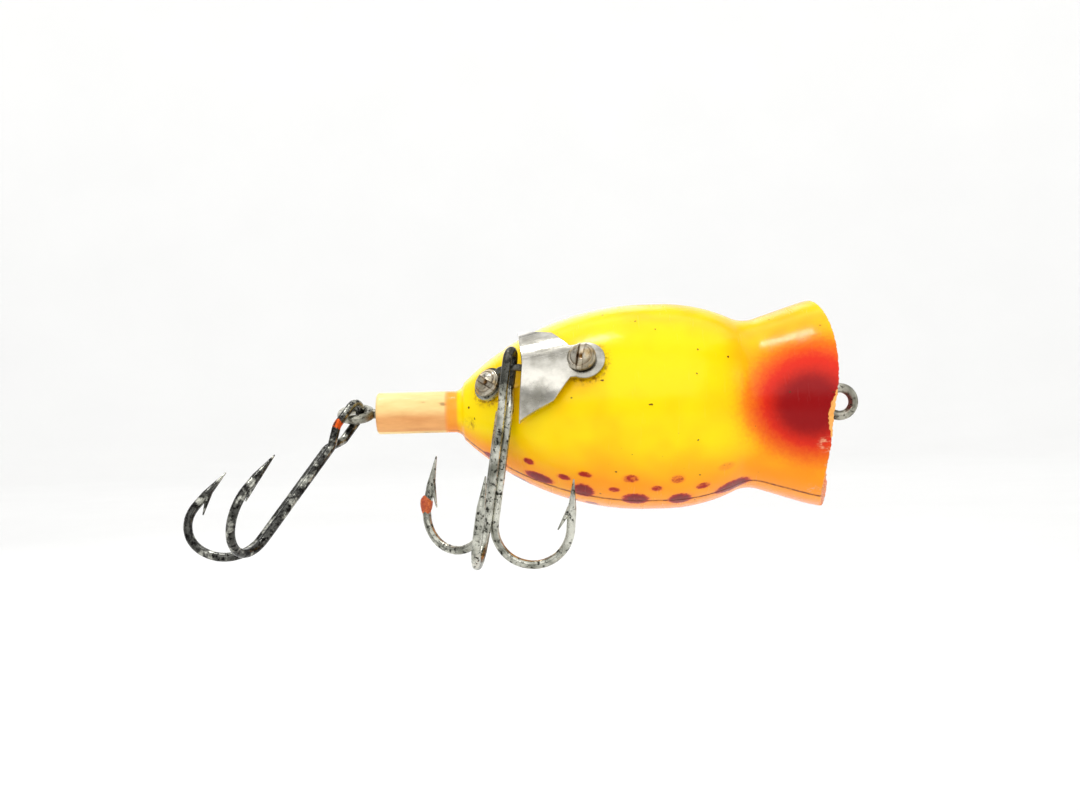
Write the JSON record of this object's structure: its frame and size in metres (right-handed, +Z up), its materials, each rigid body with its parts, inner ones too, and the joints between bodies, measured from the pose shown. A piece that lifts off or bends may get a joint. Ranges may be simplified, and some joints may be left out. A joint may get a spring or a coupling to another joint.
{
  "type": "popper fishing lure",
  "caption": "Egg-shaped hard-plastic popper lure with a cupped mouth, belly hook hanger, swinging treble and swinging double tail hook.",
  "frame": {"origin": "middle of the line-tie eye's ring, in the mouth", "axes": "+X out of the mouth along the body's axis, +Z up as held, belly towards -Y and rolled 27 degrees up"},
  "size_m": [0.081, 0.0334, 0.0313],
  "materials": {
    "painted_plastic": "gloss",
    "nickel_wire": "polished, worn",
    "nickel_sheet": "polished, worn",
    "nickel_screw": "worn nickel over brass",
    "grey_hook": "dull, mottled",
    "black_hook": "tarnished gloss"
  },
  "bodies": {
    "lure": {"belly_shell": "painted_plastic", "back_shell": "painted_plastic", "line_tie_eye": "nickel_wire", "tail_eye": "nickel_wire", "hanger_flap_plate": "nickel_sheet", "hanger_tongue": "nickel_sheet", "hanger_front_screw": "nickel_screw", "hanger_rear_screw": "nickel_screw"},
    "belly_hook": {"belly_hook_double_wire": "grey_hook", "belly_hook_single_wire": "grey_hook"},
    "tail_hook": {"tail_hook_wire": "black_hook"}
  },
  "joints": [
    {"name": "belly_hook_swing", "type": "hinge", "parent": "lure", "child": "belly_hook", "pos_m": [-0.0405, -0.00961, 0.0049], "axis": [-0.9486, 0.2697, 0.1653], "range_deg": [0, 150]},
    {"name": "tail_hook_swing", "type": "hinge", "parent": "lure", "child": "tail_hook", "pos_m": [-0.0603, -0.00153, -0.00059], "axis": [0.8691, -0.4244, -0.254], "range_deg": [-120, 100]}
  ]
}
